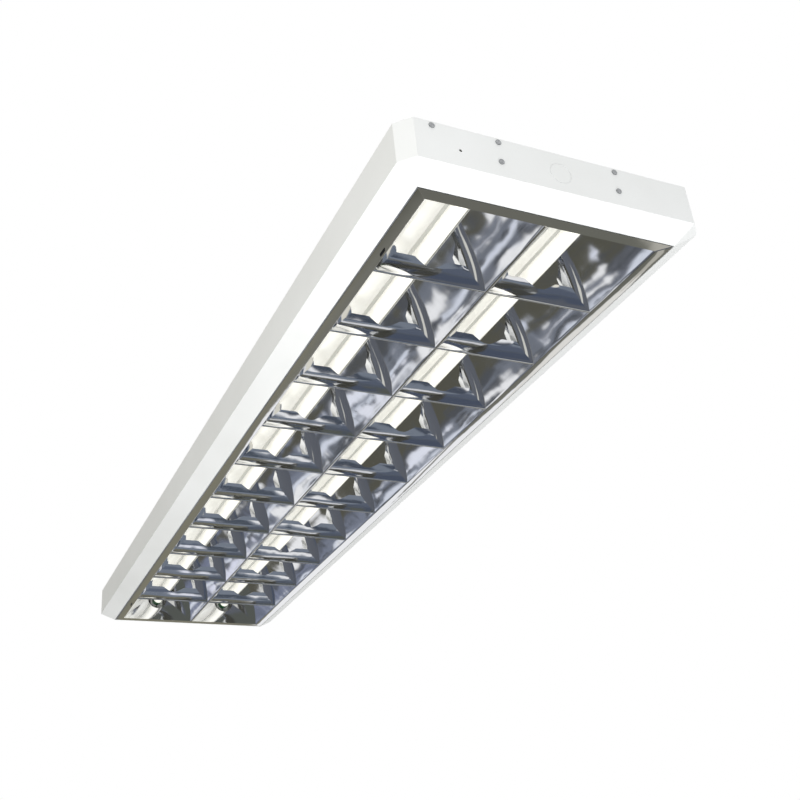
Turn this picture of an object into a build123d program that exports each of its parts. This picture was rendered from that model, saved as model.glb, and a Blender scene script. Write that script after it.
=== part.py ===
"""Twin-lamp ceiling luminaire with a hinged bright parabolic louvre, 1200 x 300 module.

Frame: the origin is the centre of the ceiling face, +Z up into the ceiling, +Y along the lamps.
Heights above the louvre's lower face are called h, so z = h - body_height.
"""
import os
from math import atan2, cos, pi, sin, sqrt

from build123d import *

# ------------------------------------------------------------------ driving sizes (mm)
# housing
body_length = 1195.0
body_width = 295.0
body_height = 52.0
body_sheet = 0.8
corner_chamfer = 12.5
rim_width = 21.0
bevel_height = 11.5
rim_return = 9.0
end_flange = 10.0
lap_length = 14.0
lap_margin = 4.0
upper_screw_drop = 3.6
lower_screw_drop = 9.0
outer_screw_x = 119.0
spare_hole_x = 95.0
spare_hole_rise = 1.5
screw_radius = 1.5
screw_length = 7.0
screw_head_radius = 2.6
screw_head_height = 0.8
top_hole_pitch_x = 160.0
top_hole_pitch_y = 900.0
top_hole_radius = 3.25
cable_hole_radius = 10.0
cable_hole_y = 262.0
entry_opening = 40.0
entry_lap = 8.0
knockout_radius = 10.0
knockout_drop = 21.0
knockout_groove = 0.4

# louvre
louvre_gap = 1.0
louvre_sheet = 0.5
flange_width = 10.8
upstand_height = 6.0
reflector_height = 38.0
foot_lead = 0.4
lip_height = 1.0
lip_to_lamp = 13.0
ridge_half_width = 0.8
end_plate_lean = 5.0
notch_radius = 15.5
blade_count = 10
blade_sheet = 0.4
blade_height = 20.0
blade_half_bottom = 0.8
blade_half_top = 7.0
blade_notch_floor = 13.5
notch_floor_half = 4.0
notch_top_half = 17.0
tab_low = 6.0
tab_high = 10.0
tab_length = 2.2
corner_plate_leg = 9.0

# lamps
lamp_length = 1149.0
lamp_radius = 8.0
lamp_height = 36.0
glass_wall = 0.9
cap_length = 12.0
cap_wall = 0.3
pin_radius = 1.17
pin_pitch = 4.76
pin_length = 7.1

# lampholders
holder_width = 20.0
holder_depth = 11.0
holder_rise = 13.0
holder_drop = 14.0
holder_chamfer = 4.0
rotor_radius = 6.0
rotor_depth = 8.2
entry_slot = 3.0
holder_peg_radius = 3.0
peg_overhang = 1.2
bracket_sheet = 0.8
bracket_inset = 2.0

# hinge and catches
hinge_radius = 1.6
hinge_pin_radius = 0.8
hinge_inset = 137.5
knuckle_length = 8.0
pin_overhang = 0.6
ear_thickness = 1.2
catch_inset = 107.5
catch_width = 9.0
catch_sheet = 0.8
catch_pin_radius = 0.75
catch_pivot_inset = 6.3
catch_pivot_h = 3.6
catch_nose_reach = 0.7
catch_stem_gap = 0.9
catch_nose_thickness = 1.6
finger_drop = 2.0
fork_foot = 6.0

# control gear
ballast_length = 360.0
ballast_width = 30.0
ballast_height = 21.0
ballast_sheet = 0.6
ballast_foot = 12.0
gear_screw_head = 2.0
port_margin = 3.0
port_rise = 5.0
port_height = 10.0
port_depth = 13.0
port_overhang = 1.0
port_hole_depth = 8.0
port_count = 6
port_pitch = 4.0
board_thickness = 1.6
# place along the board, width, length and height of each larger component
board_components = [
    (-110.0, 20.0, 24.0, 12.0),
    (-60.0, 16.0, 18.0, 11.0),
    (0.0, 22.0, 26.0, 12.0),
    (60.0, 10.0, 20.0, 10.0),
    (115.0, 20.0, 22.0, 11.0),
]
terminal_length = 34.0
terminal_width = 18.0
terminal_height = 15.0
terminal_y = 305.0
terminal_chamfer = 2.0
terminal_pitch = 10.0
terminal_way_rise = 6.0
way_radius = 1.8
clamp_offset = 4.5
clamp_radius = 1.7
clamp_sink = 0.6
clamp_length = 3.4
lead_radius = 0.9
lead_bend = 4.0
lead_stub = 10.0
lead_slant = 24.0
lead_run_x = 22.0
lead_spacing = 3.6
lead_drop = 2.6
lead_pass = 0.6
lead_end_gap = 1.0
holder_port_rise = 6.5
holder_port_depth = 4.0
clip_places = [225.0, 390.0, 540.0]
clip_length = 8.0
clip_wall = 1.2
grommet_flange = 2.0
grommet_bore = 4.0
stud_x = 34.0
stud_radius = 2.0
stud_length = 10.0
nut_drop = 3.0
nut_height = 3.2
nut_corner_radius = 4.0
lug_sheet = 0.8
lug_neck = 7.0
lug_barrel = 5.0
lug_barrel_wall = 0.6
earth_bow = 21.0

# fits
slot_clearance = 0.15
turning_clearance = 0.05
seat_clearance = 0.3

# ------------------------------------------------------------------ worked-out places
half_length = body_length / 2
half_width = body_width / 2
opening_half_x = half_width - rim_width
opening_half_y = half_length - rim_width
bevel_slope = bevel_height / rim_width
louvre_half_x = opening_half_x - louvre_gap
louvre_half_y = opening_half_y - louvre_gap
cell_edge_x = louvre_half_x - flange_width
cell_edge_y = louvre_half_y - flange_width
lamp_x = (cell_edge_x + ridge_half_width) / 2
reflector_reach = cell_edge_x - lamp_x - lip_to_lamp
blade_pitch = 2 * cell_edge_y / (blade_count + 1)
blade_places = [-cell_edge_y + blade_pitch * (i + 1) for i in range(blade_count)]
lamp_z = lamp_height - body_height
lamp_end = lamp_length / 2
holder_front = lamp_end + seat_clearance
holder_back = holder_front + holder_depth
end_wall_in = half_length - body_sheet
hinge_x = louvre_half_x - hinge_radius
hinge_y = half_length - hinge_inset
catch_y = half_length - catch_inset
catch_pivot_x = -louvre_half_x + catch_pivot_inset
holder_middle = holder_front + holder_depth / 2
holder_port_places = [holder_middle - lead_spacing / 2, holder_middle + lead_spacing / 2]
holder_port_z = lamp_z + holder_port_rise
upper_screw_z = -body_sheet - upper_screw_drop
lower_screw_z = lamp_z - lower_screw_drop


def z_at(h):
    """Height above the louvre's lower face, as a z of the row frame."""
    return h - body_height


# ------------------------------------------------------------------ general shapes
def along_y(outline, low, high):
    """A closed outline in (x, z), extruded from y = low to y = high."""
    face = Plane.XZ.offset(-high) * make_face(outline)
    return extrude(face, amount=high - low)


def along_x(outline, low, high):
    """A closed outline in (y, z), extruded from x = low to x = high."""
    face = Plane.YZ.offset(low) * make_face(outline)
    return extrude(face, amount=high - low)


def along_z(outline, low, high):
    """A closed outline in (x, y), extruded from z = low to z = high."""
    face = Plane.XY.offset(low) * make_face(outline)
    return extrude(face, amount=high - low)


def closed(*points):
    """A closed polygon through the points."""
    return Polyline(*points, close=True)


def block(x_range, y_range, z_range):
    """A box between the given limits."""
    size = [span[1] - span[0] for span in (x_range, y_range, z_range)]
    middle = [(span[0] + span[1]) / 2 for span in (x_range, y_range, z_range)]
    return Pos(*middle) * Box(*size)


def rod(start, end, radius):
    """A round bar from start to end."""
    axis = Vector(*end) - Vector(*start)
    plane = Plane(origin=start, z_dir=axis.normalized())
    return extrude(plane * Circle(radius), amount=axis.length)


def both_sides(shape):
    """The shape and its mirror image across the plane x = 0."""
    return [shape, mirror(shape, Plane.YZ)]


def save(name, *shapes):
    """Write the shapes as the separate solids of one named sub-part."""
    solids = [solid for shape in shapes for solid in shape.solids()]
    for solid in solids:
        solid.label = name
    export_step(Compound(children=solids, label=name), f"parts/{name}.step")
    print(name, len(solids), round(sum(solid.volume for solid in solids), 1))


# ------------------------------------------------------------------ housing
def octagon(half_x, half_y, corner):
    """Plan of a rectangle with cut corners, counter-clockwise from the far right corner."""
    return [
        (half_x, half_y - corner),
        (half_x - corner, half_y),
        (-half_x + corner, half_y),
        (-half_x, half_y - corner),
        (-half_x, -half_y + corner),
        (-half_x + corner, -half_y),
        (half_x - corner, -half_y),
        (half_x, -half_y + corner),
    ]


def bevelled_block(half_x, half_y, corner, z_top, z_bevel, z_low):
    """An upright block with cut corners whose lower edges slope in to the opening's rectangle."""
    outer = octagon(half_x, half_y, corner)
    inner = [
        (opening_half_x, opening_half_y),
        (-opening_half_x, opening_half_y),
        (-opening_half_x, -opening_half_y),
        (opening_half_x, -opening_half_y),
    ]
    faces = [Face(Wire.make_polygon([(x, y, z_top) for x, y in outer]))]
    faces.append(Face(Wire.make_polygon([(x, y, z_low) for x, y in inner])))
    for i in range(8):
        a = outer[i]
        b = outer[(i + 1) % 8]
        faces.append(Face(Wire.make_polygon([(*a, z_top), (*b, z_top), (*b, z_bevel), (*a, z_bevel)])))
        low = [(*inner[i // 2], z_low)]
        if i % 2:
            low = [(*inner[(i // 2 + 1) % 4], z_low), (*inner[i // 2], z_low)]
        faces.append(Face(Wire.make_polygon([(*a, z_bevel), (*b, z_bevel), *low])))
    return Solid(Shell(faces))


def housing_shell():
    """The whole white skin: top, walls, sloping rim and the return round the opening."""
    lift = body_sheet * sqrt(1 + bevel_slope**2)
    outer = bevelled_block(half_width, half_length, corner_chamfer, 0, z_at(bevel_height), z_at(0))
    inner = bevelled_block(
        half_width - body_sheet,
        half_length - body_sheet,
        corner_chamfer - body_sheet * (2 - sqrt(2)),
        -body_sheet,
        z_at(bevel_slope * (rim_width - body_sheet) + lift),
        z_at(lift),
    )
    opening = Box(2 * opening_half_x, 2 * opening_half_y, 2 * body_height)
    opening -= Pos(0, 0, body_height / 2) * Box(body_width, body_length, body_height + 2 * body_sheet)
    return_wall = block(
        (-opening_half_x - body_sheet, opening_half_x + body_sheet),
        (-opening_half_y - body_sheet, opening_half_y + body_sheet),
        (z_at(lift), z_at(rim_return)),
    )
    return_wall -= block(
        (-opening_half_x, opening_half_x), (-opening_half_y, opening_half_y), (z_at(0), z_at(rim_return))
    )
    return (outer - inner) - opening + return_wall


def end_zone(side):
    """The space that an end cap takes: past the seam from the corner fold to the opening's corner."""
    reach = half_length + body_sheet
    seam = half_length - corner_chamfer
    points = [
        (-half_width - 1, side * seam),
        (-half_width, side * seam),
        (-opening_half_x, side * opening_half_y),
        (opening_half_x, side * opening_half_y),
        (half_width, side * seam),
        (half_width + 1, side * seam),
        (half_width + 1, side * reach),
        (-half_width - 1, side * reach),
    ]
    return along_z(closed(*points), z_at(-1), -body_sheet)


screw_places = [(-outer_screw_x, upper_screw_z)]
screw_places += [(x, upper_screw_z) for x in (-lamp_x, lamp_x)]
screw_places += [(x, lower_screw_z) for x in (-lamp_x, lamp_x)]
spare_hole = (-spare_hole_x, lower_screw_z + spare_hole_rise)


def end_holes(side, places, radius):
    """Round cutters along Y through an end wall."""
    return [
        rod((x, side * (half_length - 12), z), (x, side * (half_length + 5), z), radius)
        for x, z in places
    ]


def hinge_ears():
    """Four lanced ears of the rim's return, two beside each knuckle of the louvre."""
    pin_z = z_at(hinge_radius)
    ears = []
    for y in (-hinge_y, hinge_y):
        for side in (-1, 1):
            near = y + side * (knuckle_length / 2 + slot_clearance)
            far = near + side * ear_thickness
            span = (min(near, far), max(near, far))
            arm = block((hinge_x, opening_half_x + body_sheet), span, (z_at(0), z_at(2 * hinge_radius)))
            eye = rod((hinge_x, span[0], pin_z), (hinge_x, span[1], pin_z), hinge_radius)
            hole = rod(
                (hinge_x, span[0] - 1, pin_z),
                (hinge_x, span[1] + 1, pin_z),
                hinge_pin_radius + turning_clearance,
            )
            ears.append(arm + eye - hole)
    return ears


def housing_parts():
    """The folded tray and its two end caps."""
    shell = housing_shell()
    near_zone = end_zone(-1)
    far_zone = end_zone(1)
    tray = shell - near_zone - far_zone
    caps = []
    for side, zone in ((-1, near_zone), (1, far_zone)):
        cap = shell & zone
        seam = half_length - corner_chamfer
        ends = sorted((side * (seam - lap_length), side * (seam + body_sheet)))
        lap = block(
            (half_width - 2 * body_sheet, half_width - body_sheet),
            ends,
            (z_at(bevel_height + lap_margin), -body_sheet - lap_margin),
        )
        for piece in both_sides(lap):
            cap += piece
        for cutter in end_holes(side, screw_places + [spare_hole], screw_radius + turning_clearance):
            cap -= cutter
        ring = Circle(knockout_radius + knockout_groove) - Circle(knockout_radius)
        face_y = side * half_length
        plane = Plane(origin=(0, face_y, -knockout_drop), x_dir=(1, 0, 0), z_dir=(0, -side, 0))
        cap -= extrude(plane * ring, amount=body_sheet / 2)
        caps.append(cap)
        flange_y = sorted((side * (end_wall_in - body_sheet), side * end_wall_in))
        flange = block(
            (-half_width + 2 * corner_chamfer, half_width - 2 * corner_chamfer),
            flange_y,
            (-body_sheet - end_flange, -body_sheet / 2),
        )
        upper = [place for place in screw_places if place[1] == upper_screw_z]
        for cutter in end_holes(side, upper, screw_radius + turning_clearance):
            flange -= cutter
        tray += flange
    for x in (-top_hole_pitch_x / 2, top_hole_pitch_x / 2):
        for y in (-top_hole_pitch_y / 2, top_hole_pitch_y / 2):
            tray -= rod((x, y, -5), (x, y, 5), top_hole_radius)
    half_entry = entry_opening / 2
    tray -= block((-half_entry, half_entry), (cable_hole_y - half_entry, cable_hole_y + half_entry), (-5, 5))
    for ear in hinge_ears():
        tray += ear
    return tray, caps[0], caps[1]


# ------------------------------------------------------------------ louvre
def parabola(x0, x1, height, lead=0.0):
    """A reflector's curve from (x0, 0) to x1 at the given height, upright at its foot without a lead."""
    return Bezier((x0, z_at(0)), (x0 + lead * (x1 - x0), z_at(height / 2)), (x1, z_at(height)))


def hidden_corner(x, z, side, before, after):
    """Where the hidden face turns behind a corner of the seen face, for slopes before and after it."""
    middle = (before + after) / 2
    reach = louvre_sheet / cos((after - before) / 2)
    return (x - side * reach * sin(middle), z + reach * cos(middle))


def reflector_back(x0, x1):
    """The hidden face of a side reflector, one thickness behind the seen one from flange to lip."""
    side = 1 if x1 > x0 else -1
    foot = atan2(reflector_height / 2, foot_lead * reflector_reach)
    top = atan2(reflector_height / 2, (1 - foot_lead) * reflector_reach)
    knee_x = x0 + foot_lead * (x1 - x0)
    return Bezier(
        hidden_corner(x0, z_at(0), side, 0, foot),
        hidden_corner(knee_x, z_at(reflector_height / 2), side, foot, top),
        hidden_corner(x1, z_at(reflector_height), side, top, pi / 2),
    )


def reflector_x(h):
    """How far a side reflector's face has come in from the cell's edge at height h."""
    part = h / reflector_height
    return reflector_reach * (2 * foot_lead * part + (1 - 2 * foot_lead) * part**2)


def blade_half(h):
    """Half the width of a cross blade at height h."""
    return blade_half_bottom + (blade_half_top - blade_half_bottom) * (h / blade_height) ** 2


def beyond_end_plates(side):
    """The space on the lamp-end side of an end plate's visible face."""
    y0 = side * cell_edge_y
    y1 = side * (cell_edge_y + end_plate_lean)
    far = side * (cell_edge_y + 40)
    curve = parabola(y0, y1, reflector_height)
    rest = Polyline(
        (y1, z_at(reflector_height)),
        (y1, z_at(reflector_height + 10)),
        (far, z_at(reflector_height + 10)),
        (far, z_at(-1)),
        (y0, z_at(-1)),
        (y0, z_at(0)),
    )
    return along_x(curve + rest, -cell_edge_x, cell_edge_x)


def mitre_zone(x_side, y_side):
    """The end strip's share of a flange corner, outside the 45 degree mitre."""
    corner = (x_side * cell_edge_x, y_side * cell_edge_y)
    outer = (x_side * louvre_half_x, y_side * louvre_half_y)
    outline = closed(corner, outer, (outer[0], outer[1] + y_side), (corner[0], outer[1] + y_side))
    return along_z(outline, z_at(-1), z_at(upstand_height + 1))


def blade_section(half_bottom, half_top, height, floor):
    """One side of the folded blade's V, from its bottom fold up."""
    return Bezier((half_bottom, z_at(floor)), (half_bottom, z_at(height / 2)), (half_top, z_at(height)))


def blade_envelope(y, x_low, x_high, grow, height):
    """The filled V of a blade at y, grown by a clearance, for the slots that it passes through."""
    scale = (height / blade_height) ** 2
    top = blade_half_bottom + (blade_half_top - blade_half_bottom) * scale + grow
    low = blade_half_bottom + grow
    right = Bezier((y + low, z_at(0)), (y + low, z_at(height / 2)), (y + top, z_at(height)))
    left = Bezier((y - top, z_at(height)), (y - low, z_at(height / 2)), (y - low, z_at(0)))
    outline = right + Line((y + top, z_at(height)), (y - top, z_at(height))) + left
    outline += Polyline((y - low, z_at(0)), (y - low, z_at(-1)), (y + low, z_at(-1)), (y + low, z_at(0)))
    return along_x(outline, x_low, x_high)


def louvre_side(side, hinged):
    """A long side of the louvre: upstand, flange and parabolic reflector in one folded strip."""
    t = louvre_sheet
    lip_x = -lamp_x - lip_to_lamp
    lip_z = z_at(reflector_height + lip_height)
    back = reflector_back(-cell_edge_x, lip_x)
    outline = Polyline(
        back @ 0,
        (-louvre_half_x + t, z_at(t)),
        (-louvre_half_x + t, z_at(upstand_height)),
        (-louvre_half_x, z_at(upstand_height)),
        (-louvre_half_x, z_at(0)),
        (-cell_edge_x, z_at(0)),
    )
    outline += parabola(-cell_edge_x, lip_x, reflector_height, foot_lead)
    outline += Polyline((lip_x, z_at(reflector_height)), (lip_x, lip_z), (lip_x - t, lip_z), back @ 1)
    outline += back
    strip = along_y(outline, -louvre_half_y, louvre_half_y)
    for y_side in (-1, 1):
        strip -= mitre_zone(-1, y_side)
        strip -= beyond_end_plates(y_side)
    for y in blade_places:
        half = blade_half(tab_high) + 2 * slot_clearance
        strip -= block(
            (-louvre_half_x + 4 * louvre_sheet, -cell_edge_x + reflector_x(tab_high) + 1),
            (y - half, y + half),
            (z_at(tab_low - slot_clearance), z_at(tab_high + slot_clearance)),
        )
    if hinged:
        for y in (-hinge_y, hinge_y):
            strip = add_knuckle(strip, y)
    else:
        for y in (-catch_y, catch_y):
            strip = cut_catch_window(strip, y)
    return strip if side < 0 else mirror(strip, Plane.YZ)


def add_knuckle(strip, y):
    """Roll a hinge knuckle into the flange's outer corner and clear the ears beside it."""
    pin_z = z_at(hinge_radius)
    low = y - knuckle_length / 2
    high = y + knuckle_length / 2
    reach = ear_thickness + 2 * slot_clearance + pin_overhang
    for span in ((low - reach, low), (high, high + reach)):
        strip -= block(
            (-louvre_half_x - 1, -louvre_half_x + 2.6 * hinge_radius),
            span,
            (z_at(-1), z_at(upstand_height + 1)),
        )
    strip += rod((-hinge_x, low, pin_z), (-hinge_x, high, pin_z), hinge_radius)
    bore = hinge_pin_radius + turning_clearance
    return strip - rod((-hinge_x, low - 1, pin_z), (-hinge_x, high + 1, pin_z), bore)


def cut_catch_window(strip, y):
    """A window in flange and upstand, through which a catch's nose and finger tab pass."""
    half = catch_width / 2 + seat_clearance
    nose = block(
        (-louvre_half_x - 1, -louvre_half_x + 2),
        (y - half, y + half),
        (z_at(2.2), z_at(upstand_height + 1)),
    )
    finger = block((catch_pivot_x - 1.4, catch_pivot_x + 3.4), (y - half, y + half), (z_at(-1), z_at(1.5)))
    return strip - nose - finger


def louvre_end(side):
    """An end of the louvre: upstand, flange and end plate, notched where the lamps pass."""
    lean = -cell_edge_y - end_plate_lean
    curve = parabola(-cell_edge_y, lean, reflector_height)
    plate = make_face(
        curve
        + Polyline((lean, z_at(reflector_height)), (lean - louvre_sheet, z_at(reflector_height)))
        + parabola(-cell_edge_y - louvre_sheet, lean - louvre_sheet, reflector_height)
        + Line((-cell_edge_y - louvre_sheet, z_at(0)), (-cell_edge_y, z_at(0)))
    )
    flange = closed(
        (-louvre_half_y, z_at(upstand_height)),
        (-louvre_half_y, z_at(0)),
        (-cell_edge_y, z_at(0)),
        (-cell_edge_y, z_at(louvre_sheet)),
        (-louvre_half_y + louvre_sheet, z_at(louvre_sheet)),
        (-louvre_half_y + louvre_sheet, z_at(upstand_height)),
    )
    strip = along_x(flange, -louvre_half_x, louvre_half_x)
    for x_side in (-1, 1):
        corner = (x_side * cell_edge_x, -cell_edge_y)
        outer = (x_side * louvre_half_x, -louvre_half_y)
        outline = closed(corner, outer, (outer[0] + x_side, outer[1]), (outer[0] + x_side, corner[1]))
        strip -= along_z(outline, z_at(-1), z_at(upstand_height + 1))
    strip += extrude(Plane.YZ * plate, amount=cell_edge_x, both=True)
    top = reflector_height + 1
    deep = (-louvre_half_y, -cell_edge_y + 1)
    for x in (-lamp_x, lamp_x):
        strip -= rod((x, deep[0], lamp_z), (x, deep[1], lamp_z), notch_radius)
        strip -= block((x - notch_radius, x + notch_radius), deep, (lamp_z, z_at(top)))
    return strip if side < 0 else mirror(strip, Plane.XZ)


def louvre_spine():
    """The centre reflector: a V of two parabolas back to back, slotted where the blades cross."""
    t = louvre_sheet
    lip_x = lamp_x - lip_to_lamp
    lip_z = z_at(reflector_height + lip_height)
    front = parabola(ridge_half_width, lip_x, reflector_height, foot_lead)
    back = reflector_back(ridge_half_width, lip_x)
    lip = Polyline((lip_x, z_at(reflector_height)), (lip_x, lip_z), (lip_x - t, lip_z), back @ 1)
    half = front + lip + back
    ridge = Line((-ridge_half_width, z_at(0)), (ridge_half_width, z_at(0)))
    fold_half = (back @ 0).X
    fold = Line((-fold_half, z_at(t)), (fold_half, z_at(t)))
    outline = half + mirror(half, Plane.YZ) + ridge + fold
    spine = along_y(outline, -louvre_half_y, louvre_half_y)
    cutters = [
        blade_envelope(y, -lamp_x, lamp_x, slot_clearance, blade_height + slot_clearance)
        for y in blade_places
    ]
    for cutter in cutters + [beyond_end_plates(-1), beyond_end_plates(1)]:
        spine -= cutter
    return spine


def blade_outline():
    """Front outline of a blade: parabolic ends with tabs, and a dip under each lamp."""
    inner = cell_edge_x - slot_clearance
    tab_out = cell_edge_x - reflector_x(tab_low) + tab_length
    top_x = inner - reflector_x(blade_height)
    knee_x = inner - foot_lead * reflector_reach * blade_height / reflector_height
    curve = Bezier((-inner, z_at(0)), (-knee_x, z_at(blade_height / 2)), (-top_x, z_at(blade_height)))
    dip = [
        (-lamp_x - notch_top_half, z_at(blade_height)),
        (-lamp_x - notch_floor_half, z_at(blade_notch_floor)),
        (-lamp_x + notch_floor_half, z_at(blade_notch_floor)),
        (-lamp_x + notch_top_half, z_at(blade_height)),
    ]
    top = Polyline((-top_x, z_at(blade_height)), *dip, (0, z_at(blade_height)))
    body = curve + top + Polyline((0, z_at(blade_height)), (0, z_at(0)), (-inner, z_at(0)))
    half = make_face(body)
    middle = (tab_low + tab_high) / 2
    width = tab_out - inner + reflector_x(tab_high) + 1
    tab = Pos(-tab_out + width / 2, z_at(middle)) * Rectangle(width, tab_high - tab_low)
    half += tab
    return half + mirror(half, Plane.YZ)


def cross_blade():
    """A folded V blade across both lamp bays, as it lies at y = 0."""
    outer_right = blade_section(blade_half_bottom, blade_half_top, blade_height, 0)
    outer_left = mirror(outer_right, Plane.YZ)
    low = blade_half_bottom - blade_sheet / 2
    high = blade_half_top - blade_sheet * 1.2
    inner_right = Bezier(
        (low, z_at(blade_sheet)), (low, z_at(blade_height / 2)), (high, z_at(blade_height))
    )
    inner_left = mirror(inner_right, Plane.YZ)
    rims = [
        Line((x * high, z_at(blade_height)), (x * blade_half_top, z_at(blade_height))) for x in (-1, 1)
    ]
    outline = outer_right + outer_left + inner_right + inner_left + rims[0] + rims[1]
    outline += Line((-blade_half_bottom, z_at(0)), (blade_half_bottom, z_at(0)))
    outline += Line((-low, z_at(blade_sheet)), (low, z_at(blade_sheet)))
    fold = along_x(outline, -louvre_half_x, louvre_half_x)
    front = extrude(Plane.XZ * blade_outline(), amount=blade_half_top + 1, both=True)
    return fold & front


def corner_plates():
    """Four small angle plates that lie on the flanges and tie the mitred corners together."""
    plates = []
    inset = louvre_sheet + turning_clearance
    for x_side in (-1, 1):
        for y_side in (-1, 1):
            x = x_side * (louvre_half_x - inset)
            y = y_side * (louvre_half_y - inset)
            dx = -x_side * corner_plate_leg
            dy = -y_side * corner_plate_leg
            outline = closed((x, y), (x + dx, y), (x, y + dy))
            plates.append(along_z(outline, z_at(louvre_sheet), z_at(2 * louvre_sheet)))
    return plates


# ------------------------------------------------------------------ lamps and lampholders
def lamp_parts(x):
    """Glass tube, two caps and four pins of one lamp."""
    centre = lamp_z
    glass_end = lamp_end - 2 * cap_wall
    glass_radius = lamp_radius - cap_wall
    tube = rod((x, -glass_end, centre), (x, glass_end, centre), glass_radius)
    tube -= rod((x, -glass_end - 1, centre), (x, glass_end + 1, centre), glass_radius - glass_wall)
    caps = []
    pins = []
    for side in (-1, 1):
        inner_y = side * (lamp_end - cap_length)
        end_y = side * lamp_end
        cap = rod((x, inner_y, centre), (x, end_y, centre), lamp_radius)
        cap -= rod((x, inner_y - side, centre), (x, side * glass_end, centre), glass_radius)
        caps.append(cap)
        for dx in (-pin_pitch / 2, pin_pitch / 2):
            tip = (x + dx, side * (lamp_end + pin_length), centre)
            pins.append(rod((x + dx, end_y, centre), tip, pin_radius))
    return tube, caps, pins


def lampholder(x, side):
    """A push-and-turn holder with its pocket, entry slot, lead ports and rear peg, and its rotor."""
    front = side * holder_front
    back = side * holder_back
    body = along_y(
        closed(
            (x - holder_width / 2, lamp_z - holder_drop),
            (x + holder_width / 2, lamp_z - holder_drop),
            (x + holder_width / 2, lamp_z + holder_rise - holder_chamfer),
            (x + holder_width / 2 - holder_chamfer, lamp_z + holder_rise),
            (x - holder_width / 2 + holder_chamfer, lamp_z + holder_rise),
            (x - holder_width / 2, lamp_z + holder_rise - holder_chamfer),
        ),
        min(front, back),
        max(front, back),
    )
    pocket_end = side * (holder_front + rotor_depth + seat_clearance)
    pocket_radius = rotor_radius + slot_clearance
    body -= rod((x, front - side, lamp_z), (x, pocket_end, lamp_z), pocket_radius)
    slot_y = sorted((front - side, pocket_end))
    body -= block((x - entry_slot / 2, x + entry_slot / 2), slot_y, (lamp_z - holder_drop - 1, lamp_z))
    peg_end = side * (holder_back + bracket_sheet + peg_overhang)
    body += rod((x, back, lamp_z), (x, peg_end, lamp_z), holder_peg_radius)
    inward = -1 if x > 0 else 1
    face_x = x + inward * holder_width / 2
    for y in holder_port_places:
        mouth = (face_x + inward, side * y, holder_port_z)
        end = (face_x - inward * holder_port_depth, side * y, holder_port_z)
        body -= rod(mouth, end, lead_radius + slot_clearance)
    rotor = rod((x, front, lamp_z), (x, side * (holder_front + rotor_depth), lamp_z), rotor_radius)
    rotor_slot = sorted((front - side, side * (lamp_end + pin_length + slot_clearance)))
    gap = pin_radius + turning_clearance
    rotor -= block((x - rotor_radius - 1, x + rotor_radius + 1), rotor_slot, (lamp_z - gap, lamp_z + gap))
    return body, rotor


def holder_bracket(x, side):
    """A folded steel channel that stands the lampholder off the end cap."""
    low = lamp_z - holder_drop
    high = -body_sheet - end_flange - 1.0
    half = holder_width / 2 - bracket_inset
    front = sorted((side * holder_back, side * (holder_back + bracket_sheet)))
    back = sorted((side * (end_wall_in - bracket_sheet), side * end_wall_in))
    floor = sorted((side * holder_back, side * end_wall_in))
    bracket = block((x - half, x + half), front, (low, high))
    bracket += block((x - half, x + half), back, (low, high))
    bracket += block((x - half, x + half), floor, (low - bracket_sheet, low))
    peg_hole = holder_peg_radius + slot_clearance
    bracket -= rod((x, front[0] - 1, lamp_z), (x, front[1] + 1, lamp_z), peg_hole)
    hole = screw_radius + turning_clearance
    return bracket - rod((x, back[0] - 1, lower_screw_z), (x, back[1] + 1, lower_screw_z), hole)


def end_screws(side):
    """Pan-head screws through the end cap into the tray's flange and the holder brackets."""
    screws = []
    for x, z in screw_places:
        tip = (x, side * (half_length - screw_length), z)
        seat = (x, side * half_length, z)
        top = (x, side * (half_length + screw_head_height), z)
        screws.append(rod(tip, top, screw_radius) + rod(seat, top, screw_head_radius))
    return screws


# ------------------------------------------------------------------ hinge pins and catches
def hinge_pins():
    """Two straight pins through the ears and the knuckles."""
    half = knuckle_length / 2 + slot_clearance + ear_thickness
    pins = []
    for y in (-hinge_y, hinge_y):
        seat = (hinge_x, y - half, z_at(hinge_radius))
        tip = (hinge_x, y + half + pin_overhang, z_at(hinge_radius))
        head = (hinge_x, y - half - pin_overhang, z_at(hinge_radius))
        pins.append(rod(seat, tip, hinge_pin_radius) + rod(head, seat, 1.4 * hinge_pin_radius))
    return pins


def catch_lever(y):
    """A sprung catch: nose over the rim's return, eye on its pin, finger tab through the flange."""
    px = catch_pivot_x
    pz = z_at(catch_pivot_h)
    half = catch_width / 2
    nose_x = -opening_half_x - catch_nose_reach
    nose_low = z_at(rim_return + seat_clearance)
    stem_x = -opening_half_x + catch_stem_gap
    path = Polyline(
        (nose_x, nose_low),
        (stem_x, nose_low + catch_nose_thickness),
        (stem_x + catch_sheet, nose_low + catch_nose_thickness),
        (px - 0.2, pz + 1.6),
        (px + 1.4, pz),
        (px + 1.8, z_at(-finger_drop)),
        (px + 1.0, z_at(-finger_drop)),
        (px + 0.6, pz - 0.4),
        (px - 1.0, pz + 0.8),
        (stem_x, nose_low),
        close=True,
    )
    lever = along_y(path, y - half, y + half)
    lever += rod((px, y - half, pz), (px, y + half, pz), 2 * catch_pin_radius)
    bore = catch_pin_radius + turning_clearance
    return lever - rod((px, y - half - 1, pz), (px, y + half + 1, pz), bore)


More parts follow.
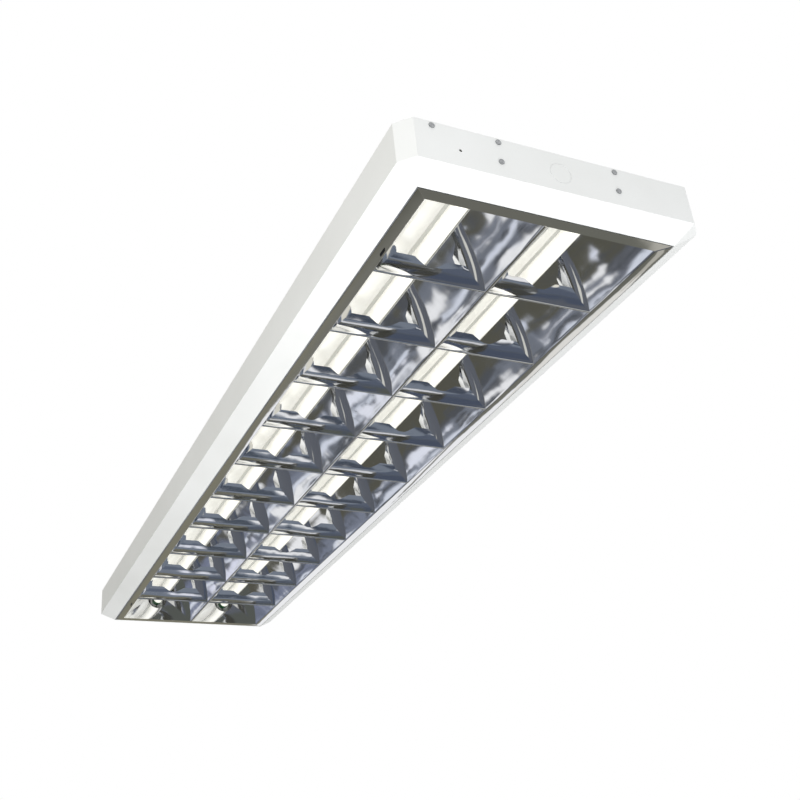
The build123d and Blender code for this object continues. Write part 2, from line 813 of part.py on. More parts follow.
def catch_fork(y):
    """The two ears that hold a catch's pin, riveted to the flange."""
    px = catch_pivot_x
    pz = z_at(catch_pivot_h)
    inner = catch_width / 2 + seat_clearance
    ear = 2 * louvre_sheet
    ears = []
    for side in (-1, 1):
        span = sorted((y + side * inner, y + side * (inner + ear)))
        plate = block((px - 2, px + 3), span, (z_at(louvre_sheet), pz))
        plate += rod((px, span[0], pz), (px, span[1], pz), 2 * catch_pin_radius)
        foot_span = sorted((y + side * inner, y + side * (inner + fork_foot)))
        plate += block((px - 2, px + 3), foot_span, (z_at(louvre_sheet), z_at(2 * louvre_sheet)))
        bore = catch_pin_radius + turning_clearance
        ears.append(plate - rod((px, span[0] - 1, pz), (px, span[1] + 1, pz), bore))
    return ears


def catch_pin(y):
    """The pin on which a catch rocks."""
    half = catch_width / 2 + seat_clearance + 2 * louvre_sheet
    pz = z_at(catch_pivot_h)
    return rod((catch_pivot_x, y - half, pz), (catch_pivot_x, y + half, pz), catch_pin_radius)


# ------------------------------------------------------------------ control gear
def ballast():
    """Base plate with feet, drawn cover and the push-in terminals at both ends."""
    top = -body_sheet
    half_w = ballast_width / 2
    half_l = ballast_length / 2
    low = top - ballast_height
    under_base = top - ballast_sheet
    base = block((-half_w, half_w), (-half_l - ballast_foot, half_l + ballast_foot), (under_base, top))
    cover = block((-half_w, half_w), (-half_l, half_l), (low, under_base))
    cover -= block(
        (-half_w + ballast_sheet, half_w - ballast_sheet),
        (-half_l + ballast_sheet, half_l - ballast_sheet),
        (low + ballast_sheet, top),
    )
    screws = []
    terminals = []
    port_half = half_w - port_margin
    port_low = low + port_rise
    port_high = port_low + port_height
    gap = slot_clearance
    for side in (-1, 1):
        y = side * (half_l + ballast_foot / 2)
        base -= rod((0, y, -5), (0, y, 1), screw_radius + turning_clearance)
        head_z = under_base - gear_screw_head
        shank = rod((0, y, head_z), (0, y, top), screw_radius)
        screws.append(shank + rod((0, y, head_z), (0, y, under_base), screw_head_radius))
        outer = side * (half_l + port_overhang)
        inner = side * (half_l - port_depth)
        ports = sorted((outer, inner))
        cover -= block((-port_half, port_half), ports, (port_low, port_high))
        terminal = block((-port_half + gap, port_half - gap), ports, (port_low + gap, port_high - gap))
        for i in range(port_count):
            x = (i - (port_count - 1) / 2) * port_pitch
            mouth = (x, outer + side, port_low + port_height / 2)
            end = (x, outer - side * port_hole_depth, port_low + port_height / 2)
            terminal -= rod(mouth, end, lead_radius + slot_clearance)
        terminals.append(terminal)
    return base, cover, terminals, screws


def ballast_inside():
    """The circuit board under the terminals, and the larger components that stand on it."""
    half_w = ballast_width / 2 - 2 * ballast_sheet
    half_l = ballast_length / 2 - 2 * ballast_sheet
    board_top = -body_sheet - ballast_height + port_rise
    board = block((-half_w, half_w), (-half_l, half_l), (board_top - board_thickness, board_top))
    components = []
    for y, width, length, height in board_components:
        components.append(
            block((-width / 2, width / 2), (y - length / 2, y + length / 2), (board_top, board_top + height))
        )
    return board, components


def terminal_block():
    """Three-way mains terminal with a clamp screw on each side of every way."""
    low = -body_sheet - terminal_height
    body = block(
        (-terminal_length / 2, terminal_length / 2),
        (terminal_y - terminal_width / 2, terminal_y + terminal_width / 2),
        (low, -body_sheet),
    )
    body = chamfer(body.edges().filter_by(Axis.X).group_by(Axis.Z)[0], terminal_chamfer)
    way_z = low + terminal_way_rise
    screws = []
    before = terminal_y - terminal_width
    beyond = terminal_y + terminal_width
    clamp_tip = low + clamp_sink
    for x in (-terminal_pitch, 0, terminal_pitch):
        body -= rod((x, before, way_z), (x, beyond, way_z), way_radius)
        for y in (terminal_y - clamp_offset, terminal_y + clamp_offset):
            body -= rod((x, y, low - 1), (x, y, way_z), clamp_radius + slot_clearance)
            screws.append(rod((x, y, clamp_tip), (x, y, clamp_tip + clamp_length), clamp_radius))
    return body, screws


def entry_plate():
    """The plate that closes the tray's cable opening from below, with the cable hole in it."""
    half = entry_opening / 2 + entry_lap
    top = -body_sheet
    plate = block((-half, half), (cable_hole_y - half, cable_hole_y + half), (top - body_sheet, top))
    return plate - rod((0, cable_hole_y, -5), (0, cable_hole_y, 5), cable_hole_radius)


def cable_grommet():
    """A soft ring that lines the cable hole: a flange each side of the plate and a round bore."""
    flange = cable_hole_radius + grommet_flange
    under = -2 * body_sheet
    centre = (0, cable_hole_y)
    ring = rod((*centre, under - grommet_flange), (*centre, under), flange)
    ring += rod((*centre, under), (*centre, -body_sheet), cable_hole_radius - slot_clearance)
    ring += rod((*centre, -body_sheet), (*centre, 0), flange)
    return ring - rod((*centre, -10), (*centre, 5), grommet_bore)


def earth_stud():
    """An M4 stud welded to the tray, and its nut."""
    z = -body_sheet
    centre = (stud_x, terminal_y)
    stud = rod((*centre, z - stud_length), (*centre, z), stud_radius)
    nut_low = Plane.XY.offset(z - nut_drop - nut_height)
    nut = extrude(nut_low * Pos(*centre) * RegularPolygon(nut_corner_radius, 6), amount=nut_height)
    nut -= rod((*centre, z - stud_length), (*centre, z), stud_radius + turning_clearance)
    return stud, nut


def earth_lug():
    """A ring terminal above the nut, with a short neck and a barrel for the earth lead."""
    high = -body_sheet - nut_drop + lug_sheet
    low = high - lug_sheet
    middle = (high + low) / 2
    neck_y = terminal_y - lug_neck
    bore = lead_radius + turning_clearance
    wide = bore + lug_barrel_wall
    lug = rod((stud_x, terminal_y, low), (stud_x, terminal_y, high), nut_corner_radius)
    lug += block((stud_x - wide, stud_x + wide), (neck_y - lug_sheet, terminal_y), (low, high))
    lug += rod((stud_x, neck_y - lug_barrel, middle), (stud_x, neck_y, middle), wide)
    lug -= rod((stud_x, terminal_y, low - 1), (stud_x, terminal_y, high + 1), stud_radius + turning_clearance)
    return lug - rod((stud_x, neck_y - lug_barrel - 1, middle), (stud_x, neck_y - lug_sheet, middle), bore)


# ------------------------------------------------------------------ internal wiring
def lead(*points):
    """A round insulated lead along straight runs that are joined by bends."""
    path = FilletPolyline(*points, radius=lead_bend)
    return sweep(Plane(origin=path @ 0, z_dir=path % 0) * Circle(lead_radius), path=path)


port_end_y = ballast_length / 2 + port_overhang - port_hole_depth + lead_end_gap
port_exit_y = ballast_length / 2 + port_overhang + lead_stub
port_z = -body_sheet - ballast_height + port_rise + port_height / 2
way_z = -body_sheet - terminal_height + terminal_way_rise


def lamp_leads():
    """Two leads to each lampholder, from the outer ports of the ballast along the tray."""
    leads = []
    for i, holder_y in enumerate(holder_port_places):
        port_x = port_pitch * ((port_count - 1) / 2 - i)
        run_x = lead_run_x + lead_spacing * (1 - i)
        face_x = lamp_x - holder_width / 2
        piece = lead(
            (port_x, port_end_y, port_z),
            (port_x, port_exit_y, port_z),
            (run_x, port_exit_y + lead_slant, -lead_drop),
            (run_x, holder_y, -lead_drop),
            (face_x - 2 * lead_spacing, holder_y, holder_port_z),
            (face_x + holder_port_depth - lead_end_gap, holder_y, holder_port_z),
        )
        for copy in both_sides(piece):
            leads += [copy, mirror(copy, Plane.XZ)]
    return leads


def mains_leads():
    """Two leads from the ballast's middle ports to the outer ways, and the earth lead to its lug."""
    inner_y = terminal_y - clamp_offset
    line = lead(
        (port_pitch / 2, port_end_y, port_z),
        (port_pitch / 2, port_exit_y, port_z),
        (terminal_pitch, port_exit_y + lead_slant, way_z),
        (terminal_pitch, inner_y, way_z),
    )
    lug_z = -body_sheet - nut_drop + lug_sheet / 2
    bow_y = terminal_y - earth_bow
    bow_z = way_z - 2 * lead_radius - lead_pass
    lug_y = terminal_y - lug_neck
    earth = lead(
        (0, inner_y, way_z),
        (0, bow_y, bow_z),
        (stud_x - lead_spacing - lead_bend / 2, bow_y, bow_z),
        (stud_x, bow_y + lead_spacing + lead_bend / 2, lug_z),
        (stud_x, lug_y - lug_sheet, lug_z),
    )
    return both_sides(line) + [earth]


def lead_clips():
    """Moulded saddles under the tray that hold each pair of lamp leads."""
    clips = []
    low = -lead_drop - lead_radius - slot_clearance - clip_wall
    margin = lead_radius + slot_clearance + clip_wall
    for y in clip_places:
        span = (y - clip_length / 2, y + clip_length / 2)
        clip = block((lead_run_x - margin, lead_run_x + lead_spacing + margin), span, (low, -body_sheet))
        for x in (lead_run_x, lead_run_x + lead_spacing):
            way = ((x, span[0] - 1, -lead_drop), (x, span[1] + 1, -lead_drop))
            clip -= rod(*way, lead_radius + slot_clearance)
        for copy in both_sides(clip):
            clips += [copy, mirror(copy, Plane.XZ)]
    return clips


# ------------------------------------------------------------------ build and write
os.makedirs("parts", exist_ok=True)

tray, cap_near, cap_far = housing_parts()
save("housing_tray", tray)
save("end_cap_near", cap_near)
save("end_cap_far", cap_far)
save("end_screws_near", *end_screws(-1))
save("end_screws_far", *end_screws(1))

save("louvre_side_left", louvre_side(-1, hinged=False))
save("louvre_side_right", louvre_side(1, hinged=True))
save("louvre_end_near", louvre_end(-1))
save("louvre_end_far", louvre_end(1))
save("louvre_spine", louvre_spine())
blade = cross_blade()
for number, place in enumerate(blade_places, start=1):
    save(f"louvre_blade_{number:02d}", Pos(0, place, 0) * blade)
save("louvre_corner_plates", *corner_plates())
save("hinge_pins", *hinge_pins())
for name, place in (("near", -catch_y), ("far", catch_y)):
    save(f"catch_lever_{name}", catch_lever(place))
    save(f"catch_fork_{name}", *catch_fork(place))
    save(f"catch_pin_{name}", catch_pin(place))

for name, x in (("left", -lamp_x), ("right", lamp_x)):
    tube, caps, pins = lamp_parts(x)
    save(f"lamp_tube_{name}", tube)
    save(f"lamp_caps_{name}", *caps)
    save(f"lamp_pins_{name}", *pins)
    for end, side in (("near", -1), ("far", 1)):
        body, rotor = lampholder(x, side)
        save(f"lampholder_{end}_{name}", body)
        save(f"holder_rotor_{end}_{name}", rotor)
for end, side in (("near", -1), ("far", 1)):
    save(f"holder_brackets_{end}", *[holder_bracket(x, side) for x in (-lamp_x, lamp_x)])

base, cover, terminals, gear_screws = ballast()
board, components = ballast_inside()
save("ballast_base", base)
save("ballast_cover", cover)
save("ballast_terminals", *terminals)
save("ballast_board", board)
save("ballast_components", *components)
save("ballast_screws", *gear_screws)
block_body, block_screws = terminal_block()
save("terminal_block", block_body)
save("terminal_screws", *block_screws)
save("entry_plate", entry_plate())
save("cable_grommet", cable_grommet())
stud, nut = earth_stud()
save("earth_stud", stud)
save("earth_nut", nut)
save("earth_lug", earth_lug())
save("leads_lamps", *lamp_leads())
save("leads_mains", *mains_leads())
save("lead_clips", *lead_clips())
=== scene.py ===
"""Ceiling luminaire: white sheet-steel housing, two slim tube lamps and a hinged bright louvre.

Metres. The origin is the centre of the ceiling face, +Z up, +Y along the lamps to the far end.
Heights above the louvre's lower face are called h, so z = h - 0.052.
"""
import math

import bpy
from mathutils import Matrix, Vector, noise


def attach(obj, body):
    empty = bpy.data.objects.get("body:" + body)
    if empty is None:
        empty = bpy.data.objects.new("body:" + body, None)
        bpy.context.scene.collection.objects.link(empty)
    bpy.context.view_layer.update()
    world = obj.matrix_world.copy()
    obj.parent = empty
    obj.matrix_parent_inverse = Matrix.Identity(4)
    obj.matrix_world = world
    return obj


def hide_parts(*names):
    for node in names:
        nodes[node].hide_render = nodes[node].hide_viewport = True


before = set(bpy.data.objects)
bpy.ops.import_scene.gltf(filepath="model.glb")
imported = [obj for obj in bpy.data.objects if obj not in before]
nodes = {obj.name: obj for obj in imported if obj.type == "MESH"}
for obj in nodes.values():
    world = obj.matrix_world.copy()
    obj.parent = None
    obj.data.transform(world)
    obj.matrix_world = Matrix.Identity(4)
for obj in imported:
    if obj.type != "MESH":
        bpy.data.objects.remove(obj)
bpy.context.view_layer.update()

# ---------------------------------------------------------------- white housing
# A tray folded from 0.8 mm steel, with two end caps that carry the corner folds.
# All of it is powder coated in a satin white, which leaves a faint orange peel.


def linear(code):
    """A colour written as sRGB hex, as the linear values that a shader takes."""
    channels = [int(code[i : i + 2], 16) / 255 for i in (1, 3, 5)]
    return [*((c / 12.92 if c <= 0.04045 else ((c + 0.055) / 1.055) ** 2.4) for c in channels), 1.0]


def add(tree, kind, settings=None, links=None):
    """Add a node, set its options by name and its sockets by name or number, and link outputs to it."""
    node = tree.nodes.new(kind)
    for name, value in (settings or {}).items():
        if isinstance(name, int) or name in node.inputs:
            node.inputs[name].default_value = value
        else:
            setattr(node, name, value)
    for name, source in (links or {}).items():
        tree.links.new(source, node.inputs[name])
    return node


def new_finish(name):
    """An empty material and its node tree."""
    finish = bpy.data.materials.new(name)
    finish.use_nodes = True
    finish.node_tree.nodes.clear()
    return finish, finish.node_tree


def close_finish(tree, shader):
    """Put the shader on the material's surface."""
    add(tree, "ShaderNodeOutputMaterial", links={"Surface": shader.outputs[0]})


def paint_node(name, finish):
    """Give a part of the frame its finish in every material slot."""
    for place in nodes[name].material_slots:
        place.material = finish


# Satin polyester powder on steel: the eye sees a soft sheen broken by orange peel of about 1.5 mm,
# drawn at 3 mm because the real size is too fine to show, and a colour that is never quite even.
powder_coat, tree = new_finish("powder_coated_steel")
place = add(tree, "ShaderNodeTexCoord").outputs["Object"]
peel = add(tree, "ShaderNodeTexNoise", {"Scale": 330.0, "Detail": 2.0}, {"Vector": place})
cloud = add(tree, "ShaderNodeTexNoise", {"Scale": 7.0, "Detail": 3.0}, {"Vector": place})
tone = add(tree, "ShaderNodeValToRGB", links={"Fac": cloud.outputs["Fac"]})
tone.color_ramp.elements[0].position = 0.3
tone.color_ramp.elements[0].color = linear("#EBECEB")
tone.color_ramp.elements[1].position = 0.7
tone.color_ramp.elements[1].color = linear("#F4F5F5")
sheen = add(tree, "ShaderNodeMapRange", {"To Min": 0.38, "To Max": 0.5}, {"Value": cloud.outputs["Fac"]})
skin = add(tree, "ShaderNodeBump", {"Strength": 0.12, "Distance": 0.0002}, {"Height": peel.outputs["Fac"]})
coat = add(
    tree,
    "ShaderNodeBsdfPrincipled",
    {"IOR": 1.5},
    {
        "Base Color": tone.outputs["Color"],
        "Roughness": sheen.outputs["Result"],
        "Normal": skin.outputs["Normal"],
    },
)
close_finish(tree, coat)
for name in ("housing_tray", "end_cap_near", "end_cap_far", "entry_plate"):
    paint_node(name, powder_coat)

# ---------------------------------------------------------------- bright louvre
# Parabolic reflectors and V blades folded from 0.4 and 0.5 mm sheet that was brightened and
# anodised before folding. The blades slot through the spine and tab into the sides.
MM = 0.001
# sizes in millimetres, with the louvre's lower face at h = 0
body_height = 52.0
cell_edge_x = 114.7
cell_edge_y = 564.7
louvre_half_x = 125.5
upstand_height = 6.0
lamp_x = 57.75
reflector_height = 38.0
reflector_lip = 1.0
lip_to_lamp = 13.0
reflector_reach = cell_edge_x - lamp_x - lip_to_lamp
foot_lead = 0.4
foot_angle = math.atan2(reflector_height / 2, foot_lead * reflector_reach)
louvre_sheet = 0.5
louvre_wave = 0.45
ridge_half = 0.8
end_lean = 5.0
blade_count = 10
blade_height = 20.0
blade_half_top = 7.0
blade_pitch = 2 * cell_edge_y / (blade_count + 1)
blade_sheet = 0.4
blade_wave = 0.3
blade_slot_clearance = 0.15
dip_height = 13.5
dip_half = 4.0
dip_slope = 0.5
# how many of a sheet's slow waves fit in a metre, and how far up its lowest fold keeps it straight
wave_scale = 24.0
stiff_height = 8.0
# how finely bends, parabolas and lengths are divided
fold_steps = 5
curve_steps = 22
strip_steps = 140


def sheet(name, rows, thickness, body="louvre", wave=0.0):
    """A thin bent sheet from a grid of points on its seen face, with its back one thickness behind.

    The points are in millimetres. A wave moves them along their normals by a slow noise, as
    sheet that was rolled, stamped and folded is never quite true, but less and less towards the
    lowest fold, which stiffens it.
    """
    high = len(rows)
    wide = len(rows[0])
    flat = bpy.data.meshes.new(name + "_face")
    points = [Vector(p) * MM for row in rows for p in row]
    quads = [
        (i * wide + j, i * wide + j + 1, (i + 1) * wide + j + 1, (i + 1) * wide + j)
        for i in range(high - 1)
        for j in range(wide - 1)
    ]
    flat.from_pydata(points, [], quads)
    flat.update()
    normals = [vert.normal.copy() for vert in flat.vertices]
    if wave:
        lowest = min(p.z for p in points)
        waved = []
        for p, n in zip(points, normals):
            freedom = min(1.0, (p.z - lowest) / (stiff_height * MM))
            waved.append(p + n * wave * MM * freedom * noise.noise(p * wave_scale))
        points = waved
    bpy.data.meshes.remove(flat)
    count = len(points)
    back = [p - n * thickness * MM for p, n in zip(points, normals)]
    rim = list(range(wide))
    rim += [i * wide + wide - 1 for i in range(1, high)]
    rim += [(high - 1) * wide + j for j in range(wide - 2, -1, -1)]
    rim += [i * wide for i in range(high - 2, 0, -1)]
    faces = quads + [tuple(count + v for v in reversed(quad)) for quad in quads]
    for a, b in zip(rim, rim[1:] + rim[:1]):
        faces.append((b, a, count + a, count + b))
    mesh = bpy.data.meshes.new(name)
    mesh.from_pydata(points + back, [], faces)
    mesh.update()
    mesh.polygons.foreach_set("use_smooth", [True] * len(mesh.polygons))
    mesh.set_sharp_from_angle(angle=math.radians(32))
    piece = bpy.data.objects.new(name, mesh)
    bpy.context.collection.objects.link(piece)
    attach(piece, body)
    return piece


def arc(centre, radius, start, end, steps):
    """Points of a bend, from the start angle to the end angle in degrees."""
    angles = [math.radians(start + (end - start) * i / steps) for i in range(steps + 1)]
    return [(centre[0] + radius * math.cos(a), centre[1] + radius * math.sin(a)) for a in angles]


# Specular aluminium: a near mirror, slightly grey from its clear anodic film. Its reflections
# wander with small dents about 20 mm apart, and its rolling lines run along the length, drawn
# 0.4 mm apart because the real ones are too fine to show.
bright_aluminium, tree = new_finish("bright_anodised_aluminium")
place = add(tree, "ShaderNodeTexCoord").outputs["Object"]
stretch = add(tree, "ShaderNodeMapping", {"Scale": (2500.0, 12.0, 2500.0)}, {"Vector": place})
lines = {"Vector": stretch.outputs["Vector"]}
rolling = add(tree, "ShaderNodeTexNoise", {"Scale": 1.0, "Detail": 2.0}, lines)
dimple = add(tree, "ShaderNodeTexNoise", {"Scale": 45.0, "Detail": 1.0}, {"Vector": place})
gloss = add(tree, "ShaderNodeMapRange", {"To Min": 0.03, "To Max": 0.08}, {"Value": rolling.outputs["Fac"]})
waves = add(tree, "ShaderNodeBump", {"Strength": 0.25, "Distance": 0.0004}, {"Height": dimple.outputs["Fac"]})
mirror = add(
    tree,
    "ShaderNodeBsdfPrincipled",
    {"Metallic": 1.0, "Base Color": linear("#E6E7EA")},
    {"Roughness": gloss.outputs["Result"], "Normal": waves.outputs["Normal"]},
)
close_finish(tree, mirror)


def reflector_x(h):
    """How far a side reflector's face has come in from its foot at height h."""
    part = h / reflector_height
    return reflector_reach * (2 * foot_lead * part + (1 - 2 * foot_lead) * part**2)


def reflector_curve(foot, side, lowest):
    """Points (x, h) of a reflector that rises from its foot towards the given side."""
    heights = [reflector_height * i / curve_steps for i in range(curve_steps + 1)]
    return [(foot + side * reflector_x(h), h) for h in heights if h > lowest]


def along_length(h, edge):
    """Where a strip ends at height h: at the leaning end plate's face."""
    return edge + end_lean * (h / reflector_height) ** 2


def side_strip(name, side):
    """A long side: upstand, flange, fold and parabola with its stiffening lip."""
    bend = 0.5
    outline = [(-louvre_half_x, upstand_height), (-louvre_half_x, 2 * bend)]
    outline += arc((-louvre_half_x + bend, bend), bend, 180, 270, fold_steps)
    middle = -cell_edge_x - bend * math.tan(foot_angle / 2)
    outline += arc((middle, bend), bend, 270, 270 + math.degrees(foot_angle), fold_steps)
    outline += reflector_curve(-cell_edge_x, 1, bend)
    outline.append((-lamp_x - lip_to_lamp, reflector_height + reflector_lip))
    rows = []
    for x, h in outline:
        outside = max(0.0, -cell_edge_x - x)
        reach = along_length(h, cell_edge_y) if not outside else cell_edge_y + outside
        rows.append(
            [(side * -x, reach * (2 * j / strip_steps - 1), h - body_height) for j in range(strip_steps + 1)]
        )
    if side > 0:
        rows = [row[::-1] for row in rows]
    return sheet(name, rows[::-1], louvre_sheet, wave=louvre_wave)


def spine_strip(name):
    """The centre reflector: two parabolas that meet in a rounded ridge, each with its lip."""
    right = reflector_curve(ridge_half, 1, ridge_half)
    right.append((lamp_x - lip_to_lamp, reflector_height + reflector_lip))
    outline = [(-x, h) for x, h in reversed(right)]
    bend = ridge_half / math.tan(foot_angle / 2)
    turn = math.degrees(foot_angle)
    outline += arc((0, bend), bend, 270 - turn, 270 + turn, 2 * fold_steps)
    outline += right
    rows = []
    for x, h in outline:
        reach = along_length(h, cell_edge_y)
        rows.append([(x, reach * (2 * j / strip_steps - 1), h - body_height) for j in range(strip_steps + 1)])
    return sheet(name, rows[::-1], louvre_sheet, wave=louvre_wave)


for name, side in (("louvre_side_left", -1), ("louvre_side_right", 1)):
    strip = side_strip("bright_" + name, side)
    strip.data.materials.append(bright_aluminium)
    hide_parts(name)
strip = spine_strip("bright_louvre_spine")
strip.data.materials.append(bright_aluminium)
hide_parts("louvre_spine")


def blade_top(x):
    """Height of a blade's upper edge: full beside the reflectors and lower under each lamp."""
    away = abs(abs(x) - lamp_x)
    return min(blade_height, dip_height + max(0.0, away - dip_half) * dip_slope)


def blade_half(h):
    """Half the width of the folded V at height h."""
    return ridge_half + (blade_half_top - ridge_half) * (h / blade_height) ** 2


def blade_end(h):
    """Where a blade meets a side reflector at height h."""
    return cell_edge_x - blade_slot_clearance - reflector_x(h)


def cross_blade(name, y):
    """A blade across both lamp bays: a V with a rounded lower fold and dipped upper edges."""
    levels = 14
    stations = 96
    rows = []
    for side in (-1, 1):
        for level in range(levels + 1):
            part = level / levels if side > 0 else 1 - level / levels
            row = []
            for j in range(stations + 1):
                u = 2 * j / stations - 1
                x = u * cell_edge_x
                # the height depends on x and the blade's end on the height, so a few rounds settle both
                for _ in range(4):
                    h = ridge_half + part * (blade_top(x) - ridge_half)
                    x = u * blade_end(h)
                row.append((x, y + side * blade_half(h), h - body_height))
            rows.append(row)
        if side < 0:
            # the rounded fold between the two flanks, in steps of 20 degrees
            for angle in range(200, 341, 20):
                a = math.radians(angle)
                row = []
                h = ridge_half * (1 + math.sin(a))
                for j in range(stations + 1):
                    x = (2 * j / stations - 1) * blade_end(0)
                    row.append((x, y + ridge_half * math.cos(a), h - body_height))
                rows.append(row)
    return sheet(name, rows, blade_sheet, wave=blade_wave)


for number in range(1, blade_count + 1):
    name = f"louvre_blade_{number:02d}"
    blade = cross_blade("bright_" + name, -cell_edge_y + blade_pitch * number)
    blade.data.materials.append(bright_aluminium)
    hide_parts(name)
for name in ("louvre_end_near", "louvre_end_far"):
    paint_node(name, bright_aluminium)

# ---------------------------------------------------------------- lamps
# Slim fluorescent tubes: clear glass coated inside with a white phosphor, cemented into drawn
# metal caps lacquered green, with two brass pins at each end.


def worked_finish(name, low, high, grain, gloss, metallic=0.0, relief=0.0):
    """A finish whose colour and gloss wander between two values with a grain of so many per metre."""
    finish, tree = new_finish(name)
    place = add(tree, "ShaderNodeTexCoord").outputs["Object"]
    speck = add(tree, "ShaderNodeTexNoise", {"Scale": grain, "Detail": 3.0}, {"Vector": place})
    tone = add(tree, "ShaderNodeValToRGB", links={"Fac": speck.outputs["Fac"]})
    tone.color_ramp.elements[0].position = 0.35
    tone.color_ramp.elements[0].color = linear(low)
    tone.color_ramp.elements[1].position = 0.65
    tone.color_ramp.elements[1].color = linear(high)
    glosses = {"To Min": gloss[0], "To Max": gloss[1]}
    rough = add(tree, "ShaderNodeMapRange", glosses, {"Value": speck.outputs["Fac"]})
    pitted = {"Strength": 0.4, "Distance": relief}
    bump = add(tree, "ShaderNodeBump", pitted, {"Height": speck.outputs["Fac"]})
    skin = add(
        tree,
        "ShaderNodeBsdfPrincipled",
        {"Metallic": metallic},
        {
            "Base Color": tone.outputs["Color"],
            "Roughness": rough.outputs["Result"],
            "Normal": bump.outputs["Normal"],
        },
    )
    close_finish(tree, skin)
    return finish


# The phosphor is a matt off-white that is seen through 0.9 mm of polished glass. The tubes are off,
# yet they glow a little: painted light that stands in for the light falling on them, so that the
# lamps are as bright as the photo shows them.
lamp_glass, tree = new_finish("phosphor_coated_glass")
place = add(tree, "ShaderNodeTexCoord").outputs["Object"]
grain = add(tree, "ShaderNodeTexNoise", {"Scale": 60.0, "Detail": 3.0}, {"Vector": place})
phosphor = add(tree, "ShaderNodeValToRGB", links={"Fac": grain.outputs["Fac"]})
phosphor.color_ramp.elements[0].color = linear("#F3F0E4")
phosphor.color_ramp.elements[1].color = linear("#F9F8F0")
# the emission is painted light on tubes that are switched off
glass = add(
    tree,
    "ShaderNodeBsdfPrincipled",
    {"Roughness": 0.6, "IOR": 1.5, "Coat Weight": 1.0, "Coat Roughness": 0.03, "Emission Strength": 0.88},
    {"Base Color": phosphor.outputs["Color"], "Emission Color": phosphor.outputs["Color"]},
)
close_finish(tree, glass)

# Lacquer on a drawn cap: a deep green with a clear gloss, a little uneven from handling.
cap_lacquer, tree = new_finish("green_lacquered_cap")
place = add(tree, "ShaderNodeTexCoord").outputs["Object"]
rub = add(tree, "ShaderNodeTexNoise", {"Scale": 300.0}, {"Vector": place})
green = add(tree, "ShaderNodeValToRGB", links={"Fac": rub.outputs["Fac"]})
green.color_ramp.elements[0].color = linear("#0B4A26")
green.color_ramp.elements[1].color = linear("#137A3D")
lacquer = add(
    tree,
    "ShaderNodeBsdfPrincipled",
    {"Roughness": 0.3, "IOR": 1.5, "Coat Weight": 0.5},
    {"Base Color": green.outputs["Color"]},
)
close_finish(tree, lacquer)

# Turned brass pins, left plain and a little dull.
brass = worked_finish("plain_brass", "#B08D45", "#C9A860", 700.0, (0.22, 0.36), 1.0, 0.00002)
for side in ("left", "right"):
    paint_node("lamp_tube_" + side, lamp_glass)
    paint_node("lamp_caps_" + side, cap_lacquer)
    paint_node("lamp_pins_" + side, brass)

# ---------------------------------------------------------------- lampholders
# Four push-and-turn holders with their rotors, moulded in white thermoplastic, on folded
# zinc-plated steel brackets that are fixed in the housing.


def paint_pieces(finish, *starts):
    """Give a finish to every piece whose name starts with one of these words."""
    for name in nodes.keys():
        if name.startswith(starts):
            paint_node(name, finish)


# White thermoplastic is satin from a faint mould texture; bright zinc has a fine spangle.
moulded = worked_finish("moulded_white_thermoplastic", "#E2E1DB", "#EEEDE8", 400.0, (0.38, 0.5), 0.0, 0.00004)
zinc = worked_finish("bright_zinc_plate", "#8E9092", "#B4B6B8", 900.0, (0.28, 0.42), 1.0, 0.00003)
paint_pieces(moulded, "lampholder_", "holder_rotor_")
paint_pieces(zinc, "holder_brackets_")

# ---------------------------------------------------------------- hinge, catches and screws
# Corner plates, hinge pins, catch forks and their pins on the louvre, and the end caps' screws,
# are zinc-plated steel. The two catch levers are spring steel.
# Blued spring steel is darker and smoother than zinc.
blued = worked_finish("blued_spring_steel", "#2E3036", "#4A4A4C", 500.0, (0.25, 0.4), 1.0, 0.00002)
paint_pieces(zinc, "louvre_corner_plates", "hinge_pins", "catch_fork_", "catch_pin_", "end_screws_")
paint_pieces(blued, "catch_lever_")

# ---------------------------------------------------------------- control gear and terminals
# A ballast with a zinc-plated base plate and drawn cover over its circuit board, screwed into the
# housing, with moulded terminals, the mains terminal block and the earth stud beside it.
# The board is a matt tan laminate, and its parts are moulded or potted in black.
laminate = worked_finish("paper_laminate_board", "#6E5A2C", "#85713C", 350.0, (0.5, 0.65), 0.0, 0.00003)
potting = worked_finish("moulded_black_component", "#141416", "#232326", 300.0, (0.4, 0.6), 0.0, 0.00004)
paint_pieces(zinc, "ballast_base", "ballast_cover", "ballast_screws", "terminal_screws", "earth_")
paint_pieces(moulded, "ballast_terminals", "terminal_block")
paint_pieces(laminate, "ballast_board")
paint_pieces(potting, "ballast_components")

# ---------------------------------------------------------------- leads and cable entry
# Leads in an extruded white sleeve run from the gear to the holders and the mains terminals,
# held by moulded clips. A rubber grommet sits in the entry plate.
sleeve = worked_finish("extruded_lead_sleeve", "#D8D8D2", "#E8E8E4", 250.0, (0.4, 0.52), 0.0, 0.00002)
rubber = worked_finish("moulded_rubber", "#101010", "#1E1E1D", 600.0, (0.6, 0.75), 0.0, 0.00005)
paint_pieces(sleeve, "leads")
paint_pieces(moulded, "lead_clips")
paint_pieces(rubber, "cable_grommet")

